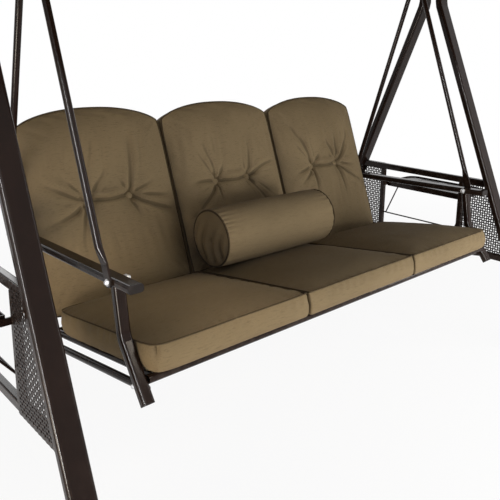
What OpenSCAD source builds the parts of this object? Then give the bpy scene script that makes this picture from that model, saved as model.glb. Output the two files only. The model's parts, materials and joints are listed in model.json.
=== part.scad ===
// Canopy swing bench. Two A-frames carry a top beam. A cushioned three-seat bench hangs from the beam
// on four rods and swings, a cloth canopy tilts above it, and a tray table folds down at each end.
// Millimetres, +Z up, +X along the bench, the sitter looks along -Y, origin on the ground at mid span.

/* [Stand] */
// Half the distance between the planes of the two A-frames
frame_half = 930; // [920:1:940]
// Distance of a leg's foot from the middle plane
leg_foot_y = 589; // [570:1:610]
// Lean of a leg from the vertical, in degrees
leg_lean = 22.2; // [21.5:0.1:22.8]
// Distance of a leg's upright top end from the middle plane
leg_top_y = 39.5; // [38:0.5:42]
// Height of the leg tops
leg_top_z = 1538; // [1534:1:1542]
// Leg tube width, across the frame
leg_w = 58; // [54:1:60]
// Leg tube depth
leg_d = 28; // [26:1:30]
// Wall of the steel tubes
tube_wall = 1.5; // [1.2:0.1:2]
// Height of the upper crossbar
upper_bar_z = 630; // [620:1:640]
// Height of the lower crossbar
lower_bar_z = 334; // [325:1:345]
// Height of a crossbar tube
bar_h = 26; // [22:1:28]
// Side of the square posts and depth of the crossbars
post_s = 20; // [18:1:22]
// Distance of a post from the middle plane
post_y = 205; // [200:1:210]
// Step of the woven panel's strips
net_pitch = 12.8; // [12.6:0.1:15]
// Side of the panel's large gaps
net_large = 8; // [6:0.5:9]
// Side of the panel's small gaps
net_small = 5; // [3:0.5:6]

/* [Swing] */
// Distance of the hanger rods from the middle of the bench
hanger_x = 775; // [774:0.5:776]
// Hanger rod diameter
hanger_d = 18; // [16:1:20]
// Height of the swing axis
pivot_z = 1462; // [1458:1:1464]
// Fore and aft place of the swing axis
pivot_y = -18; // [-20:1:-16]
// Armrest tube width
arm_w = 38; // [36:1:39]
// Armrest tube height
arm_h = 20; // [18:1:24]
// Diameter of the seat's rails
rail_d = 22; // [20:1:24]
// Diameter of the seat's side tubes
side_d = 19; // [17:1:20]

/* [Cushions] */
// Width taken by one place on the bench
place_w = 490; // [488:1:494]
// Gap between cushions
cushion_gap = 5; // [3:0.5:8]
// Height of the seat cushion's sides
seat_side_h = 66; // [60:1:70]
// Rise of the seat cushion's crown
seat_crown = 30; // [12:1:30]
// Slope of the seat, in degrees
seat_slope = 8.7; // [8:0.1:9]
// Lean of the back from the vertical, in degrees
back_lean = 20.4; // [20:0.1:21]
// Thickness of the back cushion at its crown
back_thick = 98; // [85:1:102]
// Height of the back cushion at its corners
back_h = 533; // [510:1:540]
// Rise of the back cushion's arched top
back_arch = 46; // [30:1:58]
// Distance of a covered button from the middle of its cushion
button_x = 72; // [60:1:90]
// Depth of the sewn tufts
tuft_depth = 38; // [20:1:40]
// Radius of the bolster
bolster_r = 101; // [90:1:101]
// Length of the bolster
bolster_l = 495; // [460:5:500]

/* [Canopy] */
// Half the canopy's length
canopy_half = 975; // [970:1:990]
// Half the canopy's depth
canopy_depth = 564; // [563:1:580]
// Height of the arch rails' ends
eave_z = 1484; // [1478:1:1490]
// Rise of the canopy's arch
arch_rise = 130; // [120:1:140]
// Diameter of the canopy rails
arch_d = 22; // [19:1:24]
// Drop of the cloth's valance
valance = 96; // [80:1:110]
// Height of the canopy's tilt axis
tilt_z = 1576; // [1572:1:1578]

/* [Tables] */
// Distance of the table's hinge axis from the middle of the bench
hinge_x = 962; // [961:0.5:964]
// Height of the table's hinge axis
hinge_z = 546; // [540:1:552]
// Distance of the table's outer edge from the middle of the bench
table_out = 1148; // [1130:1:1160]
// Thickness of the wire stay
wire_d = 6; // [5:0.5:7]

/* [Hidden] */
$fn = 48;
bore_gap = 0.05;        // radial clearance of a turning pin
shaft_r = 5;            // radius of the swing and tilt bolts
leg_corner = 9;
leg_bend_r = 110;
bend_bite = 1;          // overlap of a bent tube's stretches
bend_slim = 0.3;        // a bent tube narrows by this at each step of its bend
floor_gap = 4;          // thickness of a foot cap under its leg
kink_z = (leg_foot_y - leg_top_y) / tan(leg_lean);
beam_d = 2 * leg_top_y - leg_d;
beam_h = 50;
beam_z = leg_top_z - 2 - beam_h / 2;
pivot = [pivot_y, pivot_z];
arm_x = 748;
arm_front = [-404, 632];
arm_slope = 2;
arm_l = 690;
front_bolt_at = 78;     // along the armrest from its front end
rear_bolt_at = 656;
front_bolt = arm_point(front_bolt_at);
rear_bolt = arm_point(rear_bolt_at);
bolt_d = 8;
bolt_hole = 8.2;
post_top = arm_point(front_bolt_at - 2) + [0, -arm_h / 2];
post_bend = [-348, 498];
post_foot = [-440, 373];
post_x = 748;
post_tube_w = 30;       // oval tube of the bench's front posts
post_tube_d = 25;
post_corner = 8;
post_bend_r = 70;
upright_d = 25;
upright_x = arm_x - (arm_w + upright_d) / 2;
upright_low = -92;      // along the back from its origin
upright_high = 515;
seat_origin = [-430, 433];
back_origin = [145, 393];
seat_front = -24;       // cushion ends in the seat's own frame
seat_back = 480;
slat_t = 2.5;
rail_z = -slat_t - rail_d / 2;
rail_front_y = 15;
rail_rear_y = 545;
side_z = rail_z - (rail_d + side_d) / 2;
cushion_w = place_w - cushion_gap;
seat_full = 2.5;
back_full = 3.2;
button_y = 289;
bolster_at = [-19.5, -28, 565.4];
arch_x = 880;
arch_half = 548;
arch_r = (arch_half * arch_half + arch_rise * arch_rise) / (2 * arch_rise);
arch_top = eave_z + arch_rise;
cloth_t = 3;
hub_t = 5;
table_y = 193;
table_top = 14;         // table top above its hinge axis
stay_x = 934;
stay_z = 410;
stay_l = 152;
stay_up = 52;           // stay's angle above level, in degrees
stay_y = 183;
stay_far = stay_l * [cos(stay_up), sin(stay_up)];
dark = [0.17, 0.14, 0.13];
cloth = [0.42, 0.35, 0.25];
steel = [0.75, 0.75, 0.76];
plug = [0.08, 0.07, 0.07];

// Flat profiles

module rounded(w, d, r) {
  square([w - 2 * r, d], center = true);
  square([w, d - 2 * r], center = true);
  for (x = [-1, 1], y = [-1, 1]) translate([x * (w / 2 - r), y * (d / 2 - r)]) circle(r);
}

module rounded_tube(w, d, r) {
  difference() {
    rounded(w, d, r);
    rounded(w - 2 * tube_wall, d - 2 * tube_wall, r - tube_wall);
  }
}

module ring(d) {
  difference() {
    circle(d / 2);
    circle(d / 2 - tube_wall);
  }
}

module stadium(l, w) {
  translate([0, -w / 2]) square([l, w]);
  circle(w / 2);
  translate([l, 0]) circle(w / 2);
}

// Placing: a point in the side plane is [y, z], a heading is measured from +Z towards +Y

function heading(v) = atan2(v[0], v[1]);
function ahead(a) = [sin(a), cos(a)];

module along(p, a) translate([0, p[0], p[1]]) rotate([-a, 0, 0]) children();

module both() {
  children();
  mirror([1, 0, 0]) children();
}

module flip(side) mirror([side < 0 ? 1 : 0, 0, 0]) children();

// Corners of a tube's line from p0 to p2 that turns at p1 in a few equal steps
function corner_at(first, chord, start, turn, k) =
  k == 0 ? first : corner_at(first, chord, start, turn, k - 1) + chord * ahead(start + k * turn);

function bend_line(p0, p1, p2, r, steps) = let (
  start = heading(p1 - p0),
  turn = (heading(p2 - p1) - start) / steps,
  reach = r * tan(abs(turn) * steps / 2),
  chord = 2 * r * tan(abs(turn) / 2),
  first = p1 - (reach - chord / 2) * ahead(start))
    concat([p0], [for (k = [0 : steps - 1]) corner_at(first, chord, start, turn, k)], [p2]);

// A tube of the outer and inner profiles, its first and second child, mitred along a line
module mitred(line, depth) difference() {
  stretches(line, depth) children(0);
  bores(line, depth) children(1);
}

// How far a stretch runs past its corner: to the outer edge of the bend and a little into the next
function miter(depth, a, b) = depth / 2 * tan(abs(heading(a) - heading(b)) / 2) + bend_bite;

module stretches(line, depth) for (k = [0 : len(line) - 2]) {
  way = line[k + 1] - line[k];
  before = k == 0 ? 0 : miter(depth, way, line[k] - line[k - 1]);
  after = k == len(line) - 2 ? 0 : miter(depth, way, line[k + 2] - line[k + 1]);
  $slim = k * bend_slim;
  along(line[k], heading(way)) translate([0, 0, -before]) linear_extrude(norm(way) + before + after)
    children();
}

// Open bores of the two end stretches, up to where the tube is pressed solid in its bend
module bores(line, depth) {
  last = len(line) - 1;
  for (run = [[line[0], line[1], line[2]], [line[last], line[last - 1], line[last - 2]]]) {
    way = run[1] - run[0];
    along(run[0], heading(way)) translate([0, 0, -1])
      linear_extrude(1 + norm(way) - miter(depth, way, run[2] - run[1])) children();
  }
}

// A rod along X centred on the middle plane
module rod_x(p, l, d) translate([0, p[0], p[1]]) rotate([0, 90, 0]) cylinder(d = d, h = l, center = true);

module tube_x(p, l, d) translate([0, p[0], p[1]]) rotate([0, 90, 0]) translate([0, 0, -l / 2])
  linear_extrude(l) ring(d);

module in_seat() translate([0, seat_origin[0], seat_origin[1]]) rotate([-seat_slope, 0, 0]) children();

module in_back() translate([0, back_origin[0], back_origin[1]]) rotate([90 - back_lean, 0, 0]) children();

// The armrest's line, and a point on it
function arm_point(l) = arm_front + l * [cos(arm_slope), -sin(arm_slope)];

// A soft solid: a top grid of points, rings round its rim and a bottom grid, n by m cells

function rim(n, m) = concat(
  [for (i = [0 : n]) i],
  [for (j = [1 : m]) j * (n + 1) + n],
  [for (i = [1 : n]) m * (n + 1) + n - i],
  [for (j = [1 : m - 1]) (m - j) * (n + 1)]);

function grid_faces(n, m, first, up) = [for (j = [0 : m - 1], i = [0 : n - 1])
  let (a = first + j * (n + 1) + i, b = a + 1, c = a + n + 2, d = a + n + 1)
    each up ? [[a, d, c], [a, c, b]] : [[a, b, c], [a, c, d]]];

function band_faces(upper, lower) = [for (k = [0 : len(upper) - 1])
  let (next = (k + 1) % len(upper))
    each [[upper[k], upper[next], lower[next]], [upper[k], lower[next], lower[k]]]];

module soft_solid(n, m, top, rings, bottom) {
  cells = (n + 1) * (m + 1);
  edge = rim(n, m);
  under = cells + len(rings) * len(edge);
  loops = concat(
    [edge],
    [for (r = [0 : len(rings) - 1]) [for (k = [0 : len(edge) - 1]) cells + r * len(edge) + k]],
    [[for (k = edge) under + k]]);
  polyhedron(
    points = concat(top, [for (r = rings) each r], bottom),
    faces = concat(
      grid_faces(n, m, 0, true),
      [for (r = [0 : len(loops) - 2]) each band_faces(loops[r], loops[r + 1])],
      grid_faces(n, m, under, false)));
}

// Swell of a stuffed panel over u and v, each from -1 to 1: zero at the seam, one in the middle.
// A higher full makes the panel rise faster from its seam.
function bulge(t, full) = pow(max(0, 1 - pow(abs(t), full)), 1.76 / full);
function swell(u, v, full) = bulge(u, full) * bulge(v, full);

// Grid steps drawn closer towards the seams
function eased(t) = sin(90 * t);

// A-frames

module leg(side, front) {
  lower = [-leg_foot_y - floor_gap * tan(leg_lean), -floor_gap];
  color(dark) flip(side) translate([frame_half, 0, 0]) mirror([0, front ? 0 : 1, 0]) difference() {
    mitred(bend_line(lower, [-leg_top_y, kink_z], [-leg_top_y, leg_top_z], leg_bend_r, 2), leg_d) {
      rounded(leg_w - $slim, leg_d, leg_corner);
      rounded(leg_w - 2 * tube_wall, leg_d - 2 * tube_wall, leg_corner - tube_wall);
    }
    translate([-leg_w, -leg_foot_y - leg_w, -leg_w]) cube([2 * leg_w, 2 * leg_w, leg_w + floor_gap]);
  }
}

module leg_feet() {
  shell = 3;
  cup_h = 46;
  color(plug) both() for (front = [0, 1]) translate([frame_half, 0, 0]) mirror([0, front, 0])
    difference() {
      along([-leg_foot_y, 0], leg_lean) translate([0, 0, -leg_w / 2]) linear_extrude(cup_h + leg_w / 2)
        rounded(leg_w + 2 * shell, leg_d + 2 * shell, leg_corner + shell);
      difference() {
        along([-leg_foot_y, 0], leg_lean) translate([0, 0, -leg_w]) linear_extrude(3 * leg_w)
          rounded(leg_w + 0.2, leg_d + 0.2, leg_corner + 0.1);
        translate([-leg_w, -leg_foot_y - leg_w, -leg_w]) cube([2 * leg_w, 2 * leg_w, leg_w + floor_gap]);
      }
      translate([-leg_w, -leg_foot_y - leg_w, -2 * leg_w]) cube([2 * leg_w, 2 * leg_w, 2 * leg_w]);
    }
}

module leg_caps() color(plug) both() for (y = [-1, 1]) {
  translate([frame_half, y * leg_top_y, leg_top_z]) linear_extrude(3) rounded(leg_w, leg_d, leg_corner);
}

module top_beam() color(dark) translate([-frame_half - leg_w / 2, 0, beam_z]) rotate([90, 0, 90])
  linear_extrude(2 * frame_half + leg_w) rounded_tube(beam_d, beam_h, 6);

module frame_bolts() {
  reach = leg_top_y + leg_d / 2;
  color(steel) both() for (dx = [-16, 16]) translate([frame_half + dx, 0, beam_z]) rotate([90, 0, 0]) {
    for (s = [-1, 1]) translate([0, 0, s * (reach + 1.5)]) cylinder(d = 20, h = 3, center = true);
    translate([0, 0, reach + 3]) cylinder(d = 13, h = 6);
    translate([0, 0, -reach - 3 - 7]) cylinder(d = 13, h = 7, $fn = 6);
  }
}

function leg_inner_y(z) = leg_foot_y - z * tan(leg_lean) - leg_d / 2 / cos(leg_lean);

module crossbar(z) {
  reach = leg_inner_y(z - bar_h / 2) + leg_d;
  color(dark) both() translate([frame_half, 0, z]) difference() {
    rotate([90, 0, 0]) translate([0, 0, -reach]) linear_extrude(2 * reach) rounded_tube(post_s, bar_h, 4);
    for (y = [0, 1]) mirror([0, y, 0]) along([-leg_foot_y, -z], leg_lean)
      translate([-leg_w, -3 * leg_w, -2 * leg_w]) cube([2 * leg_w, 3 * leg_w + leg_d / 2, 2000]);
  }
}

module upper_crossbars() crossbar(upper_bar_z);

module lower_crossbars() crossbar(lower_bar_z);

module posts(side) {
  low = lower_bar_z + bar_h / 2;
  high = upper_bar_z - bar_h / 2;
  color(dark) flip(side) for (y = [-1, 1]) difference() {
    translate([frame_half, y * post_y, low]) linear_extrude(high - low) rounded_tube(post_s, post_s, 3);
    translate([stay_x, y * (post_y - post_s / 2), stay_z]) rotate([90, 0, 0])
      cylinder(d = wire_d + 2 * bore_gap, h = 3 * tube_wall, center = true);
  }
}

// Woven sheet on the outer side of the posts, cut to the slope of the leg
module net(side, front) {
  sheet_t = 2;
  border = 7;
  low = lower_bar_z - bar_h / 2;
  high = upper_bar_z + bar_h / 2;
  color(dark) flip(side) mirror([0, front ? 1 : 0, 0])
    translate([frame_half + post_s / 2, 0, 0]) rotate([90, 0, 90]) difference() {
      linear_extrude(sheet_t) polygon([
        [post_y, low], [leg_inner_y(low), low], [leg_inner_y(high), high], [post_y, high]]);
      for (j = [0 : floor((high - low - 2 * border) / net_pitch) - 1]) {
        z = low + border + (j + 0.5) * net_pitch;
        for (i = [0 : floor((leg_inner_y(z + net_large / 2) - post_y - 2 * border) / net_pitch) - 1]) {
          gap = (i + j) % 2 == 0 ? net_large : net_small;
          y = post_y + border + (i + 0.5) * net_pitch;
          translate([y - gap / 2, z - gap / 2, -1]) cube([gap, gap, sheet_t + 2]);
        }
      }
    }
}

// Swing pivots under the beam, tilt pivots on it

module hanger_brackets() {
  cheek_t = 3;
  inside = 11;
  foot = beam_z - beam_h / 2;
  color(dark) both() translate([hanger_x, 0, 0]) {
    difference() {
      union() {
        for (s = [-1, 1]) translate([s * (inside + cheek_t) / 2, pivot_y, pivot_z]) rotate([90, 0, 90])
          translate([0, 0, -cheek_t / 2]) linear_extrude(cheek_t) {
            circle(15);
            translate([-15, 0]) square([30, foot - pivot_z]);
          }
        translate([-30, pivot_y - 15, foot - 4]) cube([60, 30, 4]);
      }
      rod_x(pivot, 100, 2 * shaft_r);
    }
  }
}

module hanger_pins() color(steel) both() translate([hanger_x, pivot_y, pivot_z]) rotate([0, 90, 0]) {
  translate([0, 0, -14]) cylinder(r = shaft_r, h = 28);
  translate([0, 0, 8.5]) cylinder(d = 17, h = 7, $fn = 6);
  translate([0, 0, -15.5]) cylinder(d = 17, h = 7, $fn = 6);
}

module canopy_brackets() {
  cheek_t = 4;
  inside = hub_t + 1;
  foot = beam_z + beam_h / 2;
  color(dark) both() translate([arch_x, 0, 0]) difference() {
    for (s = [-1, 1]) translate([s * (inside + cheek_t) / 2, 0, tilt_z]) rotate([90, 0, 90])
      translate([0, 0, -cheek_t / 2]) linear_extrude(cheek_t) {
        circle(16);
        translate([-16, foot - tilt_z]) square([32, tilt_z - foot]);
      }
    rod_x([0, tilt_z], 100, 2 * shaft_r);
  }
}

module canopy_pins() color(steel) both() translate([arch_x, 0, tilt_z]) rotate([0, 90, 0]) {
  translate([0, 0, -12]) cylinder(r = shaft_r, h = 42);
  translate([0, 0, -14]) cylinder(d = 17, h = 7, $fn = 6);
}

module knob(side) color(plug) flip(side) translate([arch_x + 9, 0, tilt_z]) rotate([0, 90, 0]) difference() {
  union() {
    cylinder(r = 13, h = 8);
    translate([0, 0, 8]) linear_extrude(17) difference() {
      circle(24);
      for (a = [0 : 60 : 300]) rotate(a) translate([27, 0]) circle(8);
    }
  }
  translate([0, 0, -1]) cylinder(r = shaft_r + bore_gap, h = 23);
}

// Hangers: a rod with both ends pressed flat

module hanger(side, bolt, tab_x) {
  tab_t = 5;
  tab_w = 26;
  taper = 40;
  foot_x = arm_x + arm_w / 2 + tab_t / 2 - hanger_x;
  way = bolt - pivot;
  l = norm(way);
  color(dark) flip(side) translate([hanger_x, 0, 0]) difference() {
    along(pivot, heading(way)) {
      translate([tab_x - tab_t / 2, 0, 0]) rotate([90, 90, 90]) mirror([1, 0, 0]) linear_extrude(tab_t)
        stadium(48, tab_w);
      hull() {
        translate([tab_x - tab_t / 2, -tab_w / 2, 40]) cube([tab_t, tab_w, 1]);
        translate([0, 0, 40 + taper]) cylinder(d = hanger_d, h = 1, $fn = 32);
      }
      translate([0, 0, 40 + taper]) cylinder(d = hanger_d, h = l - 2 * (40 + taper));
      hull() {
        translate([0, 0, l - 41 - taper]) cylinder(d = hanger_d, h = 1, $fn = 32);
        translate([foot_x - tab_t / 2, -tab_w / 2, l - 41]) cube([tab_t, tab_w, 1]);
      }
      translate([foot_x - tab_t / 2, 0, l]) rotate([90, 90, 90]) linear_extrude(tab_t) stadium(41, tab_w);
    }
    rod_x(pivot, 60, 2 * (shaft_r + bore_gap));
    rod_x(bolt, 60, bolt_hole);
  }
}

// Bench frame

module armrest(side) color(dark) flip(side) translate([arm_x, 0, 0]) difference() {
  along(arm_front, 90 + arm_slope) linear_extrude(arm_l) rounded_tube(arm_w, arm_h, 7);
  rod_x(front_bolt, 60, bolt_hole);
  rod_x(rear_bolt, 60, bolt_hole);
}

module front_post(side) {
  lift = 6;
  color(dark) flip(side) translate([post_x, 0, 0]) difference() {
    mitred(bend_line(post_foot, post_bend, post_top + lift * ahead(10), post_bend_r, 3), post_tube_d) {
      rounded(post_tube_w - $slim, post_tube_d, post_corner);
      rounded(post_tube_w - 2 * tube_wall, post_tube_d - 2 * tube_wall, post_corner - tube_wall);
    }
    along(arm_front, 90 + arm_slope) translate([-40, -2.5 * arm_h, 0])
      cube([80, 3 * arm_h, 300]);
  }
}

module tube_plugs() color(plug) both() {
  translate([arm_x, 0, 0]) along(arm_front, 90 + arm_slope) translate([0, 0, -4]) linear_extrude(4)
    rounded(arm_w, arm_h, 7);
  translate([post_x, 0, 0]) along(post_foot, heading(post_bend - post_foot)) translate([0, 0, -3])
    linear_extrude(3) rounded(post_tube_w, post_tube_d, post_corner);
}

module side_rail(side) {
  color(dark) flip(side) difference() {
    in_seat() translate([upright_x + upright_d / 2 + side_d / 2, 12, side_z]) rotate([-90, 0, 0])
      linear_extrude(580) ring(side_d);
    translate([post_x, 0, 0]) along(post_foot, heading(post_bend - post_foot))
      linear_extrude(norm(post_bend - post_foot)) rounded(post_tube_w, post_tube_d, post_corner);
  }
}

module seat_front_rail() color(dark) in_seat()
  tube_x([rail_front_y, rail_z], 2 * post_x - post_tube_w, rail_d);

module seat_rear_rail() color(dark) in_seat()
  tube_x([rail_rear_y, rail_z], 2 * (upright_x + upright_d / 2 + side_d), rail_d);

module seat_side_tubes() color(dark) both() in_seat() difference() {
  translate([upright_x - 6, rail_front_y, rail_z]) rotate([-90, 0, 0])
    linear_extrude(rail_rear_y - rail_front_y) ring(side_d);
  for (y = [rail_front_y, rail_rear_y]) rod_x([y, rail_z], 2000, rail_d);
}

module seat_slats() color(dark) in_seat() for (k = [-5 : 5]) {
  translate([k * 132 - 14, rail_front_y - 8, -slat_t]) cube([28, rail_rear_y - rail_front_y + 16, slat_t]);
}

module upright(side) color(dark) flip(side) in_back()
  translate([upright_x, upright_low, -slat_t - upright_d / 2]) rotate([-90, 0, 0])
    linear_extrude(upright_high - upright_low) ring(upright_d);

// A rail between the uprights at a height along the back
module back_rail(y) color(dark) in_back() difference() {
  tube_x([y, -slat_t - upright_d / 2], 2 * upright_x, upright_d);
  for (s = [-1, 1]) translate([s * upright_x, 0, -slat_t - upright_d / 2]) rotate([-90, 0, 0])
    translate([0, 0, upright_low]) cylinder(d = upright_d, h = upright_high - upright_low);
}

module back_top_rail() back_rail(upright_high - 14);

module back_low_rail() back_rail(-4);

module back_slats() color(dark) in_back() for (k = [-5 : 5]) {
  translate([k * 132 - 14, -20, -slat_t]) cube([28, upright_high - 14 + 28, slat_t]);
}

// Bolts with round heads outside and capped nuts inside
module seat_bolts() color(steel) both() {
  inner = arm_x - arm_w / 2;
  for (p = [front_bolt, rear_bolt]) {
    translate([inner, p[0], p[1]]) rotate([0, 90, 0]) cylinder(d = bolt_d, h = arm_w + 5);
    translate([arm_x + arm_w / 2 + 5, p[0], p[1]]) rotate([0, 90, 0]) {
      cylinder(d = 17, h = 2);
      translate([0, 0, 2]) cylinder(d1 = 14, d2 = 8, h = 5);
    }
  }
  translate([inner, front_bolt[0], front_bolt[1]]) rotate([0, -90, 0]) {
    cylinder(d = 18, h = 5);
    translate([0, 0, 5]) cylinder(d1 = 16, d2 = 9, h = 8);
  }
  in_seat() translate([upright_x + upright_d / 2 + side_d, 52, side_z]) rotate([0, 90, 0])
    cylinder(d1 = 15, d2 = 9, h = 6);
}

// Cushions

// Seat cushion: boxed sides drawn in between the corners, crowned top, flat where it rests
module seat_cushion(place) {
  n = 10;
  m = 10;
  half = cushion_w / 2;
  mid = (seat_front + seat_back) / 2;
  long = (seat_back - seat_front) / 2;
  tuck = 5;
  // outline point pulled in along the sides, with softened corners
  function plan(u, v, out) = let (
    cu = (half + out - tuck * cos(90 * v)) * u,
    cv = (long + out - tuck * cos(90 * u)) * v,
    soft = 9 * pow(abs(u) * abs(v), 8))
      [cu - soft * sign(u), mid + cv - soft * sign(v)];
  function top(u, v) = [each plan(u, v, 0), seat_side_h + seat_crown * swell(u, v, seat_full)];
  function base(u, v) = [each plan(u, v, -4), 0];
  function at(i, k) = eased(2 * i / k - 1);
  edge = rim(n, m);
  function ring_at(out, z) = [for (e = edge) let (u = at(e % (n + 1), n), v = at(floor(e / (n + 1)), m))
    [each plan(u, v, out), z]];
  color(cloth) translate([place * place_w, 0, 0]) in_seat() soft_solid(n, m,
    [for (j = [0 : m], i = [0 : n]) top(at(i, n), at(j, m))],
    [ring_at(1.5, seat_side_h * 0.62), ring_at(1, seat_side_h * 0.28)],
    [for (j = [0 : m], i = [0 : n]) base(at(i, n), at(j, m))]);
}

// Back cushion: arched top, crowned face with two sewn tufts and a crease between them
module back_cushion(place) {
  n = 16;
  m = 16;
  half = cushion_w / 2;
  low = -18;
  tuck = 6;
  seam = 52;
  // 0 at the bottom edge, 1 at the arched top edge
  function arch(u) = back_h + back_arch * (1 - u * u) - low;
  function plan(u, v, out) = let (
    t = (v + 1) / 2,
    side = (half + out - tuck * cos(90 * v)) * u,
    up = low - out + t * (arch(u) + 2 * out),
    soft = 16 * pow(abs(u) * abs(v), 7))
      [side - soft * sign(u), up - soft * sign(v)];
  function tuft(p) = max([for (s = [-1, 1]) let (dx = p[0] - s * button_x, dy = p[1] - button_y)
    exp(-pow(norm([dx, dy]) / 30, 1.3))]);
  function crease(p) = 0.35 * exp(-pow((p[1] - button_y) / 16, 2)) * (abs(p[0]) < button_x ? 1 : 0);
  function top(u, v) = let (p = plan(u, v, 0))
    [each p, seam + (back_thick - seam) * swell(u, v, back_full) - tuft_depth * max(tuft(p), crease(p))];
  function base(u, v) = [each plan(u, v, -6), 0];
  function at(i, k) = eased(2 * i / k - 1) * 0.5 + (2 * i / k - 1) * 0.5;
  edge = rim(n, m);
  function ring_at(out, z) = [for (e = edge) let (u = at(e % (n + 1), n), v = at(floor(e / (n + 1)), m))
    [each plan(u, v, out), z]];
  color(cloth) translate([place * place_w, 0, 0]) in_back() soft_solid(n, m,
    [for (j = [0 : m], i = [0 : n]) top(at(i, n), at(j, m))],
    [ring_at(1.5, seam * 0.6), ring_at(1, seam * 0.25)],
    [for (j = [0 : m], i = [0 : n]) base(at(i, n), at(j, m))]);
}

module tuft_buttons() color(cloth) in_back() for (place = [-1 : 1], s = [-1, 1]) {
  translate([place * place_w + s * button_x, button_y, back_thick - tuft_depth - 1])
    rotate_extrude() difference() {
      translate([0, -10]) circle(18);
      translate([-40, -80]) square([40, 120]);
      translate([0, -80]) square([40, 80]);
    }
}

// Bolster: a slightly barrelled roll with rounded end seams
module bolster() {
  edge_r = 14;
  barrel = 4;
  steps = 8;
  half = bolster_l / 2;
  function end_arc(s) = [for (k = [0 : steps]) let (a = 90 * k / steps)
    [bolster_r - barrel - edge_r + edge_r * sin(a), s * (half - edge_r + edge_r * cos(a))]];
  function roll() = [for (k = [1 : steps - 1]) let (t = 2 * k / steps - 1)
    [bolster_r - barrel * t * t, -t * (half - edge_r)]];
  lower = end_arc(-1);
  color(cloth) translate(bolster_at) rotate([0, 90, 0]) rotate_extrude() polygon(concat(
    [[0, half]], end_arc(1), roll(), [for (k = [steps : -1 : 0]) lower[k]], [[0, -half]]));
}

// Canopy

function arch_z(y) = arch_top - arch_r + sqrt(arch_r * arch_r - y * y);

module arch(x, hub) {
  turn = asin((arch_half - 5) / arch_r);
  color(dark) translate([x, 0, 0]) difference() {
    union() {
      translate([0, 0, arch_top - arch_r]) rotate([90, 0, 90]) rotate(90 - turn)
        rotate_extrude(angle = 2 * turn, $fn = 720) translate([arch_r, 0]) ring(arch_d, $fn = 48);
      if (hub) translate([-hub_t / 2, 0, tilt_z]) rotate([90, 0, 90]) linear_extrude(hub_t) {
        circle(15);
        translate([-15, 0]) square([30, arch_top - arch_d / 2 + 1 - tilt_z]);
      }
    }
    if (hub) rod_x([0, tilt_z], 60, 2 * (shaft_r + bore_gap));
    for (s = [-1, 1]) rod_x([s * arch_half, eave_z], 60, arch_d);
  }
}

module canopy_side_arches() {
  arch(arch_x, true);
  arch(-arch_x, true);
}

module canopy_mid_arch() arch(0, false);

module canopy_edge_bars() color(dark) for (s = [-1, 1])
  tube_x([s * arch_half, eave_z], 2 * (canopy_half - 8), arch_d);

// One sheet over the arches: it sags between them, and its valance hangs in shallow folds
module canopy_cloth() {
  n = 24;
  m = 14;
  sag = 14;
  lift = arch_d / 2 + cloth_t + 1.8;
  fold = 5;
  folds = 9;
  edge = rim(n, m);
  function roof(i, j, down) = let (
    x = (2 * i / n - 1) * (canopy_half - down),
    y = (2 * j / m - 1) * (canopy_depth - down),
    bay = min(abs(x), arch_x) / arch_x,
    r = arch_r + lift)
      [x, y, arch_top - arch_r + sqrt(r * r - y * y) - down
        - sag * pow(sin(180 * bay), 2) * cos(90 * y / canopy_depth)];
  function hem(e, share, down) = let (
    i = e % (n + 1),
    j = floor(e / (n + 1)),
    p = roof(i, j, down),
    on_side = i == 0 || i == n,
    on_end = j == 0 || j == m,
    wave = share * fold * (on_side && on_end ? 0 : sin(360 * folds * (on_end ? i / n : j / m))))
      [p[0] + (on_side ? sign(p[0]) * wave : 0), p[1] + (on_end ? sign(p[1]) * wave : 0),
        p[2] - share * valance];
  color(cloth) soft_solid(n, m,
    [for (j = [0 : m], i = [0 : n]) roof(i, j, 0)],
    [for (k = [[0.5, 0], [1, 0], [1, cloth_t], [0.5, cloth_t]]) [for (e = edge) hem(e, k[0], k[1])]],
    [for (j = [0 : m], i = [0 : n]) roof(i, j, cloth_t)]);
}

// Folding tables

// Lugs on the posts, each with a pin that the table turns on
module table_lugs() color(dark) both() for (s = [-1, 1]) {
  face = frame_half + post_s / 2;
  translate([0, s * 199.5, hinge_z]) rotate([90, 0, 0]) translate([0, 0, -2]) linear_extrude(4) {
    translate([hinge_x, 0]) circle(9);
    translate([face, -9]) square([hinge_x - face, 18]);
  }
  translate([hinge_x, s * 190, hinge_z]) rotate([90, 0, 0]) cylinder(d = 6, h = 24, center = true);
}

module table_outline(inset) {
  inner = hinge_x - 12 + inset;
  outer = table_out - inset;
  half = table_y - inset;
  corner = 46 - inset;
  translate([inner, -half]) square([outer - corner - inner, 2 * half]);
  translate([inner, -half + corner]) square([outer - inner, 2 * half - 2 * corner]);
  for (s = [-1, 1]) translate([outer - corner, s * (half - corner)]) circle(corner);
}

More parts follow.
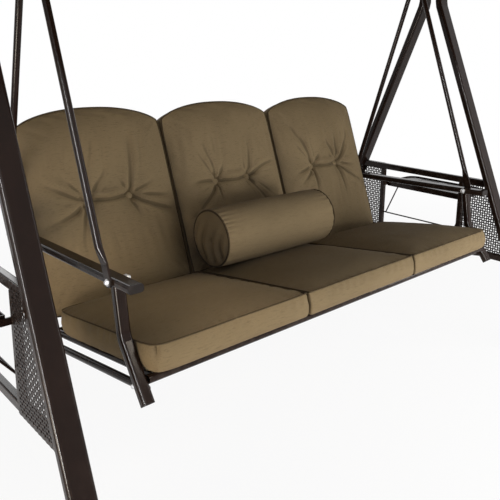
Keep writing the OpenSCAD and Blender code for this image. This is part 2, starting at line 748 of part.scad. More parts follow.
// Pressed tray: a rim, an apron below it and slots through the floor
module table(side) {
  floor_t = 2;
  rim_h = 5;
  apron = 20;
  top = hinge_z + table_top;
  rest_z = stay_z + stay_far[1] + wire_d / 2 + 0.4;
  color(dark) flip(side) difference() {
    union() {
      translate([0, 0, top - apron - rim_h]) linear_extrude(apron + rim_h) difference() {
        table_outline(0);
        table_outline(2.2);
      }
      translate([0, 0, top - rim_h - floor_t]) linear_extrude(floor_t) table_outline(1);
      for (s = [-1, 1]) translate([hinge_x, s * (table_y - 6), hinge_z]) rotate([90, 0, 0])
        cylinder(d = 14, h = 12, center = true);
      for (s = [-1, 1]) translate([stay_x + stay_far[0] - 10, s * 150 - 3, rest_z])
        cube([20, 6, top - rim_h - floor_t - rest_z]);
    }
    translate([hinge_x, 0, hinge_z]) rotate([90, 0, 0])
      cylinder(d = 6 + 2 * bore_gap, h = 3 * table_y, center = true);
    for (k = [0 : 5], s = [-1, 1]) translate([hinge_x + 34 + k * 24, s * 70, top - 20])
      rotate([0, 0, 90]) translate([-45, 0, 0]) linear_extrude(30) stadium(90, 8);
  }
}

// Wire stay: a rod between the posts, two struts and a rod under the table
module stay(side) {
  color(dark) flip(side) translate([stay_x, 0, stay_z]) {
    rotate([90, 0, 0]) cylinder(d = wire_d, h = 2 * (post_y - post_s / 2 + 5), center = true);
    for (s = [-1, 1]) translate([0, s * stay_y, 0]) rotate([0, 90 - stay_up, 0])
      cylinder(d = wire_d, h = stay_l);
    translate([stay_far[0], 0, stay_far[1]]) rotate([90, 0, 0])
      cylinder(d = wire_d, h = 2 * stay_y + wire_d, center = true);
  }
}

leg(-1, true);  // leg_left_front
leg(-1, false);  // leg_left_rear
leg(1, true);  // leg_right_front
leg(1, false);  // leg_right_rear
leg_feet();
leg_caps();
top_beam();
upper_crossbars();
lower_crossbars();
posts(-1);  // left_posts
posts(1);  // right_posts
net(-1, true);  // net_left_front
net(-1, false);  // net_left_rear
net(1, true);  // net_right_front
net(1, false);  // net_right_rear
hanger_brackets();
hanger_pins();
canopy_brackets();
canopy_pins();
frame_bolts();
table_lugs();
hanger(-1, front_bolt, -2.5);  // hanger_left_front
hanger(-1, rear_bolt, 2.5);  // hanger_left_rear
hanger(1, front_bolt, -2.5);  // hanger_right_front
hanger(1, rear_bolt, 2.5);  // hanger_right_rear
armrest(-1);  // left_armrest
armrest(1);  // right_armrest
tube_plugs();
front_post(-1);  // left_front_post
front_post(1);  // right_front_post
side_rail(-1);  // left_side_rail
side_rail(1);  // right_side_rail
seat_front_rail();
seat_rear_rail();
seat_side_tubes();
seat_slats();
back_slats();
upright(-1);  // left_upright
upright(1);  // right_upright
back_top_rail();
back_low_rail();
seat_bolts();
seat_cushion(-1);  // seat_cushion_left
seat_cushion(0);  // seat_cushion_center
seat_cushion(1);  // seat_cushion_right
back_cushion(-1);  // back_cushion_left
back_cushion(0);  // back_cushion_center
back_cushion(1);  // back_cushion_right
tuft_buttons();
bolster();
canopy_cloth();
canopy_side_arches();
canopy_mid_arch();
canopy_edge_bars();
knob(-1);  // left_knob
knob(1);  // right_knob
table(-1);  // left_table
table(1);  // right_table
stay(-1);  // left_stay
stay(1);  // right_stay
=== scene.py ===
# %% [markdown]
# # A canopy swing bench
# A cushioned bench for three hangs from a tubular stand. The solids come from the imported model, already at
# their true size, so this script only dresses them: paint, plastic, zinc, woven panels and soft goods.

# %% Load the frame
import json
import math

import bpy
import numpy as np
from mathutils import Matrix, Vector, noise


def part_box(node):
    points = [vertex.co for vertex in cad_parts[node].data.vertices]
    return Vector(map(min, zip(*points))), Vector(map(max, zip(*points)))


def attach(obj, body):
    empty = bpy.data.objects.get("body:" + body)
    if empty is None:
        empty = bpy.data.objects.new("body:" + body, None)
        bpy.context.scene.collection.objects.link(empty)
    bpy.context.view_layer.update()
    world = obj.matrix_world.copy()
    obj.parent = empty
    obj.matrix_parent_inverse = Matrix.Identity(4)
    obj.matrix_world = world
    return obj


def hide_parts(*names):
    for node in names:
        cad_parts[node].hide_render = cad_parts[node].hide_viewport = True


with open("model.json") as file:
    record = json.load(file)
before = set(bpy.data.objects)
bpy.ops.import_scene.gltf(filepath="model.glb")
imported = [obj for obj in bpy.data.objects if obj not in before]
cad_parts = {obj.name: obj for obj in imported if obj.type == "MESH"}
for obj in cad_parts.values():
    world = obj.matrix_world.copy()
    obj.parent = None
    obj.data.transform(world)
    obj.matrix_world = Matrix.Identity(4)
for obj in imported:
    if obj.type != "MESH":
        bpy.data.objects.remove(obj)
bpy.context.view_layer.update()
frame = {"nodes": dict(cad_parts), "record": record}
scene = bpy.context.scene
nodes = frame["nodes"]

# %% [markdown]
# The camera stands in front of the bench, to its left and close to it, so the near A-frame is cut by the
# picture's edge. A camera could be aimed with a Track To constraint. Writing its three axes as the columns
# of a matrix is plainer, because roll is then part of the aim. The picture is a crop of a wider view, and
# lens shift is what moves the crop without turning the camera.

# %% Camera
camera_at = Vector((-1.3904, -1.5215, 1.1331))
camera_right = Vector((0.7224, -0.6911, 0.0209))
camera_up = Vector((0.1379, 0.1737, 0.9752))
camera_back = camera_right.cross(camera_up)

lens = bpy.data.cameras.new("camera")
lens.sensor_width = 36
lens.lens = 44.45
lens.shift_x = -0.0666
lens.shift_y = -0.1136
lens.clip_end = 200
camera = bpy.data.objects.new("camera", lens)
axes = Matrix((camera_right, camera_up, camera_back)).transposed().to_4x4()
camera.matrix_world = Matrix.Translation(camera_at) @ axes
scene.collection.objects.link(camera)
scene.camera = camera
print("camera at", tuple(camera_at))

# %% [markdown]
# A shader is a graph, and arithmetic in a graph is hard to read as a list of nodes and links. The small
# class below wraps one output socket. Adding or multiplying two of them adds the Math node, so a pattern
# reads like the formula it is. Every other node comes from the one method `node`.

# %% Shader sockets as values
class Sock:
    """An output socket of a material's graph that takes part in arithmetic."""

    def __init__(self, tree, out=None):
        self.tree = tree
        self.out = out

    def node(self, kind, settings=None, output=0, **inputs):
        """Add a node. An input is named, with _ for a space, or numbered as i0, i1 and so on."""
        made = self.tree.nodes.new("ShaderNode" + kind)
        for name, value in (settings or {}).items():
            setattr(made, name, value)
        for name, value in inputs.items():
            key = int(name[1:]) if name[0] == "i" and name[1:].isdigit() else name.replace("_", " ")
            socket = made.inputs[key]
            if isinstance(value, Sock):
                self.tree.links.new(value.out, socket)
            else:
                socket.default_value = value
        return Sock(self.tree, made.outputs[output])

    def sister(self, output):
        """Another output of the same node."""
        return Sock(self.tree, self.out.node.outputs[output])

    def math(self, operation, other=0.0, clamp=False):
        return self.node("Math", {"operation": operation, "use_clamp": clamp}, i0=self, i1=other)

    def flipped(self, operation, other):
        return self.node("Math", {"operation": operation}, i0=other, i1=self)

    def __add__(self, other):
        return self.math("ADD", other)

    def __radd__(self, other):
        return self.flipped("ADD", other)

    def __sub__(self, other):
        return self.math("SUBTRACT", other)

    def __rsub__(self, other):
        return self.flipped("SUBTRACT", other)

    def __mul__(self, other):
        return self.math("MULTIPLY", other)

    def __rmul__(self, other):
        return self.flipped("MULTIPLY", other)

    def sine(self):
        return self.math("SINE")

    def clamped(self):
        return self.math("ADD", 0.0, clamp=True)

    def between(self, low, high):
        return self.node("MapRange", {"interpolation_type": "SMOOTHSTEP"}, Value=self, From_Min=low,
                         From_Max=high)


def colour_mix(share, first, second):
    """Blend of two colours, each a tuple or a socket, by a share from 0 to 1."""
    return share.node("Mix", {"data_type": "RGBA"}, output=2, i0=share, i6=first, i7=second)


def toned(colour, factor):
    """A lighter or darker tone of a colour, still opaque."""
    return tuple(c * factor for c in colour[:3]) + (1,)


def finish_of(name, **constants):
    """A new material: its graph's object coordinates and its shader, with constants set on the sockets."""
    made = bpy.data.materials.new(name)
    made.use_nodes = True
    shader = made.node_tree.nodes["Principled BSDF"]
    for key, value in constants.items():
        shader.inputs[key.replace("_", " ")].default_value = value
    return made, shader, Sock(made.node_tree).node("TexCoord", output="Object")


def feed(shader, **links):
    """Link sockets to the shader's inputs."""
    for key, value in links.items():
        value.tree.links.new(value.out, shader.inputs[key.replace("_", " ")])


def noisy(place, scale, detail=3.0, rough=0.55):
    """Noise from 0 to 1. scale counts its grains per metre."""
    return place.node("TexNoise", Vector=place, Scale=scale, Detail=detail, Roughness=rough)


def pointiness(place):
    """Above 0.5 on ridges and edges, below it in creases."""
    return place.node("NewGeometry", output="Pointiness")


def bump(height, strength, distance):
    """A normal that tilts with a height. distance is the height's reach in metres."""
    return height.node("Bump", Height=height, Strength=strength, Distance=distance)


print("shader values ready")

# %% [markdown]
# The tubes carry a dark brown powder coat. Powder flows out as it bakes but keeps a fine pebbled skin, so
# its highlights are long and slightly broken. The bump has two sizes of grain. Sharp edges are painted a
# little paler, partly as wear where corners are handled and partly as a painted highlight along them; the
# Geometry node's pointiness finds those edges on any mesh. The specular level is low, because a white
# studio mirrored in the coat would turn the brown to grey.

# %% Powder coat
def powder_coat(name, base, wear_and_highlight_colour, gloss):
    """Baked paint: its colour, the colour of its edges (wear and painted highlight) and the roughness of its
    smoothest spots.
    """
    made, shader, place = finish_of(name, Specular_IOR_Level=0.13)
    grain = noisy(place, 1400, 2)
    flow = noisy(place, 160, 3)
    cloud = noisy(place, 9, 4)
    edge = pointiness(place).between(0.53, 0.62)
    tone = colour_mix(cloud.between(0.3, 0.75), base, toned(base, 1.35))
    # Painted highlight mixed with wear: sharp edges are lightened towards the paler edge colour.
    wear_and_edge_highlight = (edge * noisy(place, 55, 4).between(0.35, 0.7) * 0.38).clamped()
    feed(shader, Base_Color=colour_mix(wear_and_edge_highlight, tone, wear_and_highlight_colour), Roughness=gloss + 0.10 * cloud,
         Normal=bump(grain * 0.5 + flow, 0.14, 0.0005))
    return made


frame_paint = powder_coat("frame_paint", (0.0105, 0.0052, 0.0036, 1), (0.050, 0.037, 0.030, 1), 0.10)
woven_steel = powder_coat("woven_steel", (0.0130, 0.0085, 0.0070, 1), (0.030, 0.022, 0.018, 1), 0.26)
print("paint:", frame_paint.name, woven_steel.name)

# %% [markdown]
# Plugs, caps and knobs are moulded black plastic: matte, with an even spark-eroded grain. The bolts are
# zinc plated, so they are metallic and pale, with a cloudy passivated tone that also varies their gloss.

# %% Plastic and zinc
def moulded_plastic():
    """Black plastic with an even grain and faint scuffs."""
    made, shader, place = finish_of("black_plastic", Specular_IOR_Level=0.15)
    grain = noisy(place, 1100, 4, 0.7)
    scuff = noisy(place, 38, 5).between(0.55, 0.8)
    feed(shader, Base_Color=colour_mix(scuff * 0.5, (0.012, 0.009, 0.008, 1), (0.034, 0.027, 0.023, 1)),
         Roughness=0.46 + 0.2 * scuff, Normal=bump(grain, 0.25, 0.0004))
    return made


def zinc_plate():
    """Pale plated steel with a cloudy tone."""
    made, shader, place = finish_of("zinc_steel", Metallic=1.0)
    cloud = noisy(place, 120, 4)
    fine = noisy(place, 1500, 2)
    feed(shader, Base_Color=colour_mix(cloud, (0.50, 0.50, 0.52, 1), (0.80, 0.80, 0.79, 1)),
         Roughness=0.22 + 0.25 * cloud, Normal=bump(fine, 0.12, 0.0002))
    return made


black_plastic = moulded_plastic()
zinc_steel = zinc_plate()
print("small parts:", black_plastic.name, zinc_steel.name)

# %% [markdown]
# The cushions and the canopy share one cloth, an olive brown polyester in plain weave. Threads are about a
# millimetre apart. A weave could be an image, but two crossed sine waves give the over and under of the
# threads at any scale and need no unwrapping. Slubs, which are thicker stretches of thread, and slow shade
# changes keep it from looking printed. Deep creases get little light, so pointiness darkens them.
# Cloth hardly mirrors anything, so its specular level and sheen are kept very low.

# %% Cloth
def woven_cloth(name, warp, weft, thread):
    """Plain weave of two thread colours. thread is the length of one over and under, in metres."""
    made, shader, place = finish_of(name, Sheen_Weight=0.02, Sheen_Roughness=0.4, Specular_IOR_Level=0.06)
    across = place.node("SeparateXYZ", Vector=place)
    rise = across.sister("Y") + across.sister("Z")
    wobble = noisy(place, 60, 2) * 1.2
    turns = 2 * math.pi / thread
    over = (across * turns + wobble).sine()
    under = (rise * turns + wobble).sine()
    weave = (over * under * 0.5 + 0.5).clamped()
    slub = noisy(place.node("Mapping", Vector=place, Scale=(1.0, 8.0, 8.0)), 42, 4, 0.65)
    cloud = noisy(place, 5, 5)
    thread_tone = colour_mix(weave, warp, weft)
    dusty = colour_mix(cloud.between(0.35, 0.8) * 0.30, thread_tone, toned(weft, 1.35))
    slubbed = colour_mix(slub.between(0.50, 0.75) * 0.55, dusty, toned(warp, 0.62))
    crease = pointiness(place).between(0.497, 0.470) * 0.55
    feed(shader, Base_Color=colour_mix(crease, slubbed, toned(warp, 0.35)), Roughness=0.66 + 0.2 * cloud,
         Normal=bump(weave + slub * 0.8, 0.30, 0.0005))
    return made


cushion_fabric = woven_cloth("cushion_fabric", (0.134, 0.098, 0.053, 1), (0.178, 0.131, 0.073, 1), 0.0016)
seam_fabric = woven_cloth("seam_fabric", (0.040, 0.028, 0.015, 1), (0.056, 0.039, 0.022, 1), 0.0012)
# Painted shade: this dark cloth is for the seat seam's cord, which stands for the shade in the seam's
# groove.
seam_shade_fabric = woven_cloth("seam_shade_fabric", (0.048, 0.034, 0.018, 1), (0.066, 0.046, 0.025, 1), 0.0012)
canopy_fabric = woven_cloth("canopy_fabric", (0.135, 0.091, 0.048, 1), (0.178, 0.122, 0.066, 1), 0.0016)
print("cloth:", cushion_fabric.name, seam_fabric.name, seam_shade_fabric.name, canopy_fabric.name)

# %% [markdown]
# Every solid that already has the right shape keeps it and only takes a finish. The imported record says
# which finish each one has, so a loop over its list does the whole frame.

# %% Finishes on the solids
finishes = {"frame_paint": frame_paint, "woven_steel": woven_steel, "black_plastic": black_plastic,
            "zinc_steel": zinc_steel, "cushion_fabric": cushion_fabric, "canopy_fabric": canopy_fabric}
for row in frame["record"]["subparts"]:
    mesh = nodes[row["node"]].data
    mesh.materials.clear()
    mesh.materials.append(finishes[row["material_slot"]])

# %% [markdown]
# Soft pieces are easiest to shape lying in their own plane, and the seat and the back both lean. Two
# matrices carry those planes: x along the bench, y along the panel, z out of it. A cushion's size is then
# read from its solid by turning the solid's points into that plane.

# %% The planes of the seat and the back
seat_slope = math.radians(-8.7)
back_slope = math.radians(90 - 20.4)
seat_plane = Matrix.Translation((0, -0.430, 0.433)) @ Matrix.Rotation(seat_slope, 4, "X")
back_plane = Matrix.Translation((0, 0.145, 0.393)) @ Matrix.Rotation(back_slope, 4, "X")


def points_of(mesh):
    """A mesh's points as rows of x, y and z."""
    flat = np.empty(len(mesh.vertices) * 3)
    mesh.vertices.foreach_get("co", flat)
    return flat.reshape(-1, 3)


def moved(points, matrix):
    """Rows of points carried by a matrix."""
    turn = np.array(matrix.to_3x3())
    return points @ turn.T + np.array(matrix.translation)


def extent_in(name, plane):
    """Lowest and highest corner of a solid in a plane's own frame."""
    inside = moved(points_of(nodes[name].data), plane.inverted())
    return inside.min(axis=0), inside.max(axis=0)


for name, plane in (("seat_cushion_center", seat_plane), ("back_cushion_center", back_plane)):
    low, high = extent_in(name, plane)
    print(name, "measures", [round(float(c), 3) for c in high - low])

# %% [markdown]
# A stuffed cover is two panels and the band between them. One helper lays a grid for the upper panel,
# rings for the band and a grid for the underside, and joins them into quads. It also returns the seam's
# point numbers, so piping can be laid on the finished cushion afterwards.

# %% Pieces and covers
def add_piece(name, points, faces, material):
    """A smooth shaded mesh object in the scene."""
    mesh = bpy.data.meshes.new(name)
    mesh.from_pydata([tuple(p) for p in points], [], faces)
    mesh.materials.append(material)
    mesh.shade_smooth()
    piece = bpy.data.objects.new(name, mesh)
    scene.collection.objects.link(piece)
    return piece


def rim(n, m):
    """Numbers of a grid's border points, once round."""
    front = list(range(n + 1))
    right = [j * (n + 1) + n for j in range(1, m + 1)]
    rear = [m * (n + 1) + n - i for i in range(1, n + 1)]
    left = [(m - j) * (n + 1) for j in range(1, m)]
    return front + right + rear + left


def cover(n, m, top, rings, base):
    """Points and faces of a stuffed cover. top, each ring and base take u and v from -1 to 1."""
    def at(k, count):
        t = 2 * k / count - 1
        return 0.5 * t + 0.5 * math.sin(t * math.pi / 2)

    grid = [(at(i, n), at(j, m)) for j in range(m + 1) for i in range(n + 1)]
    edge = rim(n, m)
    points = [top(u, v) for u, v in grid]
    loops = [edge]
    for ring in rings:
        loops.append([len(points) + k for k in range(len(edge))])
        points += [ring(*grid[e]) for e in edge]
    under = len(points)
    loops.append([under + e for e in edge])
    points += [base(u, v) for u, v in grid]
    faces = []
    for j in range(m):
        for i in range(n):
            a = j * (n + 1) + i
            b, c, d = a + 1, a + n + 2, a + n + 1
            faces += [(a, b, c, d), (under + a, under + d, under + c, under + b)]
    for upper, lower in zip(loops, loops[1:]):
        for k in range(len(edge)):
            k2 = (k + 1) % len(edge)
            faces.append((upper[k], lower[k], lower[k2], upper[k2]))
    return points, faces, loops, under


print("cover helper ready")

# %% [markdown]
# Piping, stitched seams and hems are thin round cords along a path. A Curve with a bevel would make them,
# but a mesh takes its material and its body like any other piece. One side vector is carried along the
# path and kept square to it, so that the cord doesn't twist where the path bends.

# %% Cords along a path
def tube(path, radius, closed=True, sides=8):
    """Points and faces of a round cord along a path."""
    path = [Vector(p) for p in path]
    count = len(path)
    points = []
    side = None
    for k, p in enumerate(path):
        ahead = path[(k + 1) % count] if closed or k < count - 1 else p
        behind = path[k - 1] if closed or k > 0 else p
        way = (ahead - behind).normalized()
        if side is None:
            side = way.orthogonal()
        side = (side - way * side.dot(way)).normalized()
        other = way.cross(side)
        for s in range(sides):
            a = 2 * math.pi * s / sides
            points.append(p + radius * (math.cos(a) * side + math.sin(a) * other))
    faces = []
    for k in range(count if closed else count - 1):
        k2 = (k + 1) % count
        for s in range(sides):
            s2 = (s + 1) % sides
            faces.append((k * sides + s, k * sides + s2, k2 * sides + s2, k2 * sides + s))
    if not closed:
        faces += [tuple(range(sides))[::-1], tuple((count - 1) * sides + s for s in range(sides))]
    return points, faces


print("cord helper ready")

# %% [markdown]
# The stuffing is real physics: Blender's cloth, blown up from inside with gravity off, is what pulls a
# flat cover into a pillow. The seams are sewn and hardly give, so they are held by a vertex group, and
# the underside is held because it rests on slats. Twenty frames are enough. The result is read back, each
# point's travel is capped so that neighbours stay apart, and the modifier goes, leaving a plain mesh.

# %% Stuffing
sim_frames = 20


def stuffed(piece, held, pressure, cap, sideways=0.002):
    """Blow a cover up with the cloth solver and keep the result. held maps a weight to point numbers."""
    group = piece.vertex_groups.new(name="sewn")
    for weight, numbers in held.items():
        group.add([int(n) for n in numbers], weight, "REPLACE")
    solver = piece.modifiers.new("stuffing", "CLOTH")
    cloth = solver.settings
    cloth.quality = 5
    cloth.mass = 0.3
    cloth.tension_stiffness = 15
    cloth.compression_stiffness = 15
    cloth.shear_stiffness = 5
    cloth.bending_stiffness = 0.5
    cloth.use_pressure = True
    cloth.uniform_pressure_force = pressure
    cloth.vertex_group_mass = group.name
    cloth.pin_stiffness = 1.0
    cloth.effector_weights.gravity = 0.0
    solver.point_cache.frame_start = 1
    solver.point_cache.frame_end = sim_frames
    before = points_of(piece.data)
    for step in range(1, sim_frames + 1):
        scene.frame_set(step)
    after = points_of(piece.evaluated_get(bpy.context.evaluated_depsgraph_get()).data)
    piece.modifiers.remove(solver)
    piece.vertex_groups.remove(group)
    scene.frame_set(1)
    travel = after - before
    length = np.linalg.norm(travel, axis=1)
    travel *= np.minimum(1.0, cap / np.maximum(length, 1e-9))[:, None]
    travel[:, 0] = np.clip(travel[:, 0], -sideways, sideways)
    piece.data.vertices.foreach_set("co", (before + travel).ravel())
    piece.data.update()
    return float(length.max())


print("stuffing runs for", sim_frames, "frames")

# %% [markdown]
# Wrinkles are finer than the mesh that the solver moves, so one level of subdivision comes first. Each
# point is then pushed along its normal by a depth that a formula gives. A Displace modifier does this
# from a texture, but a formula knows where the seams and buttons are. The last helper ties a piece to its
# body and hides the solids that it stands for.

# %% Wrinkles and dressing
def refined(piece):
    """One level of subdivision, applied."""
    smooth = piece.modifiers.new("refine", "SUBSURF")
    smooth.levels = 1
    smooth.render_levels = 1
    fine = bpy.data.meshes.new_from_object(piece.evaluated_get(bpy.context.evaluated_depsgraph_get()))
    piece.modifiers.remove(smooth)
    old = piece.data
    piece.data = fine
    bpy.data.meshes.remove(old)
    fine.shade_smooth()


def pushed(piece, plane, depth):
    """Move each point along its normal by depth(x, y, z), measured in the plane's own frame."""
    mesh = piece.data
    normals = np.empty(len(mesh.vertices) * 3)
    mesh.vertices.foreach_get("normal", normals)
    spots = points_of(mesh)
    amount = depth(moved(spots, plane.inverted()))
    mesh.vertices.foreach_set("co", (spots + normals.reshape(-1, 3) * amount[:, None]).ravel())
    mesh.update()


def rolling(points, size, seed):
    """Slow noise over points, about -1 to 1."""
    shift = Vector((seed * 7.3, seed * 3.1, seed * 1.7))
    return np.array([noise.noise(Vector(p) / size + shift) for p in points])


def dressed(piece, body, slot_name, *replaced):
    """Tie a piece to a body and hide the solids that it stands for. slot_name is not used."""
    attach(piece, body)
    if replaced:
        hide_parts(*replaced)


print("wrinkle helpers ready")

# %% [markdown]
# Each seat cushion is a boxed foam slab: a top panel, a front and sides about 66 mm high, and a stitched
# seam round the top edge. Foam keeps its box, so the top only crowns by a couple of centimetres and the
# band bulges a little between its seams. Corners that lie free are softer than those against a neighbour,
# and each corner has a short pinch under the seam, where the band is sewn round it. The seam's pull shows
# as small puckers. A bevelled box would be quicker, but it has neither the crown nor the pull.

# %% Sizes of the seat cushions
places = {"left": -1, "center": 0, "right": 1}
seat_cells = 60
seat_seam = 0.066
seat_reach = 0.008
seat_slack = 0.0005
seat_full = 2.5
seat_headroom = 0.004
seat_tuck = 0.002
seat_bulge = 0.006
neighbour_room = 0.001
free_corner, shared_corner = 0.013, 0.0018
band_shares = (0.86, 0.70, 0.54, 0.38, 0.22, 0.08)
under_inset = 0.004
pinch_inset, pinch_size, pinch_depth = 0.011, 0.007, 0.009
stitch_radius = 0.0020
seat_pressure, seat_swell = 4.0, 0.008


def swell(u, v, full):
    """Rise of a stuffed panel, 0 at its seam and 1 in its middle. A higher full rises faster."""
    return (max(0.0, 1 - abs(u) ** full) * max(0.0, 1 - abs(v) ** full)) ** (1.76 / full)


print("seat seam", seat_seam, "m up, rise half way to a side", round(swell(0.5, 0, seat_full), 2))

# %% [markdown]
# Inside the function, plan gives a place in the seat's plane, inside lifts it to a height, and each ring
# of the band follows from them. The cover is blown up with its underside and seam held, then refined and
# puckered. The seam's points are read before those last two steps, because their numbers change with the
# refining.

# %% Seat cushions
def seat_cushion(place, seed):
    """Cover of one seat cushion and the stitched seam on it."""
    node = "seat_cushion_" + place
    outer = places[place]
    low, high = extent_in(node, seat_plane)
    high[1] += seat_reach
    middle = (low + high) / 2
    half = (high - low) / 2 - seat_slack
    crown = high[2] - seat_seam - seat_headroom

    def plan(u, v, out):
        free = u * outer > 0
        side = out if free else min(out, neighbour_room)
        x = (half[0] + side - seat_tuck * math.cos(v * math.pi / 2)) * u
        y = (half[1] + out - seat_tuck * math.cos(u * math.pi / 2)) * v
        soft = (free_corner if free else shared_corner) * abs(u * v) ** 8
        return middle[0] + x - math.copysign(soft, u), middle[1] + y - math.copysign(soft, v)

    def inside(u, v, out, z):
        return seat_plane @ Vector((*plan(u, v, out), z))

    def ring_at(share):
        bulge = seat_bulge * math.sin(math.pi * share)
        return lambda u, v: inside(u, v, bulge, seat_seam * share)

    def puckers(p):
        x, y, z = (p - middle).T
        height = z + middle[2]
        to_side, to_end = half[0] - abs(x), half[1] - abs(y)
        edge = np.minimum(to_side, to_end)
        along = np.where(to_side < to_end, y, x)
        slow = rolling(p, 0.13, seed) * 0.0022 + rolling(p, 0.045, seed + 5) * 0.0008
        pull = np.sin(along * 150 + 3 * np.sin(along * 23 + seed)) * np.exp(-(edge / 0.022) ** 2) * 0.0011
        above = height > seat_seam * 0.6
        lift = np.clip(height / 0.03, 0, 1)
        nook = np.hypot(to_side - pinch_inset, to_end - pinch_inset) / pinch_size
        drop = np.clip((seat_seam + 0.004 - height) / 0.008, 0, 1) * np.clip(height / 0.04 - 0.4, 0, 1)
        return (slow + pull * above) * lift - pinch_depth * np.exp(-nook ** 2) * drop

    points, faces, loops, under = cover(
        seat_cells, seat_cells, lambda u, v: inside(u, v, 0, seat_seam + crown * swell(u, v, seat_full)),
        [ring_at(share) for share in band_shares], lambda u, v: inside(u, v, -under_inset, 0.0))
    piece = add_piece(node + "_cover", points, faces, cushion_fabric)
    held = {1.0: range(under, len(points)), 0.9: loops[0]}
    swollen = stuffed(piece, held, seat_pressure, seat_swell)
    seam = [piece.data.vertices[k].co.copy() for k in loops[0]]
    refined(piece)
    pushed(piece, seat_plane, puckers)
    dressed(piece, "swing", "cushion_fabric", node)
    # Painted shade: a thin dark cord along the seam stands for the shade in its groove.
    seam_shade_cord = add_piece("seat_seam_" + place, *tube(seam, stitch_radius), seam_shade_fabric)
    dressed(seam_shade_cord, "swing", "cushion_fabric")
    print(node, len(piece.data.vertices), "points, swelled", round(swollen * 1000, 1), "mm")


for place, k in places.items():
    seat_cushion(place, k + 2)

# %% [markdown]
# Two covered buttons are tied through each back cushion, and folds fan out where they drag the cloth in.
# The cloth solver could find such folds, but only on a much finer mesh. So a formula draws each one, as a
# narrow valley between two low ridges. A list says which way the folds of a button run, and seeded random
# numbers change them from button to button.

# %% Folds round a button
fold_turns = (74, 38, 4, -34, -78, 118)
fold_lengths = (0.150, 0.100, 0.120, 0.130, 0.090, 0.070)
fold_start = 0.014
fold_width, fold_widening = 0.0048, 0.055


def fan(x, y, seed):
    """Depth of the folds at a place measured from the button on the right. Each fades away from it."""
    draw = np.random.default_rng(seed)
    depth = np.zeros_like(x)
    for turn, length in zip(fold_turns, fold_lengths):
        toward = math.radians(turn + draw.uniform(-16, 16))
        length *= draw.uniform(0.6, 1.35)
        bend = draw.uniform(-1.6, 1.6)
        ahead = x * math.cos(toward) + y * math.sin(toward)
        off = y * math.cos(toward) - x * math.sin(toward) - bend * ahead ** 2
        onward = np.maximum(ahead, 0)
        share = np.clip(ahead / fold_start, 0, 1) * np.exp(-(onward / length) ** 2)
        across = abs(off) / (fold_width + fold_widening * onward)
        valley = np.exp(-across ** 2) - 0.5 * np.exp(-(across - 1.9) ** 2)
        depth -= draw.uniform(0.0035, 0.0105) * share * valley
    return depth


print("folds at each button:", len(fold_turns))

# %% [markdown]
# A back cushion is softer than a seat: fibre in a cover with an arched top. Its face dips at the two
# buttons and a crease joins them. The dips are in the cover before it is blown up, with the cloth held
# there, so the stuffing swells round them as it does round a real tie. The folds, the crease and slow
# waves come after it. Next to the seam they fade, so that the dark piping lies on an even edge.

# %% Sizes of the back cushions
back_cells = 64
back_seam = 0.052
back_full = 3.2
back_headroom = 0.010
back_tuck = 0.001
back_bulge = 0.001
back_band_shares = (0.84, 0.67, 0.5, 0.33, 0.16)
back_corner = 0.006
foot_drop = 0.006
arch_rise, arch_power = 0.046, 2.3
button_x, button_y = 0.072, 0.289
tuft_depth, tuft_reach, tie_radius = 0.036, 0.030, 0.011
crease_depth, crease_width = 0.014, 0.0050
seam_calm = 0.030
welt_radius = 0.0022
back_pressure, back_swell = 4.0, 0.012


print("buttons", 2 * button_x, "m apart, tufts", tuft_depth, "m deep")

# %% [markdown]
# The function follows the seat's, with an arch in its plan. The points under the buttons are held along
# with the seam. The wrinkles only act on the front, and the crease between the buttons sags in the
# middle, as cloth does between two ties.

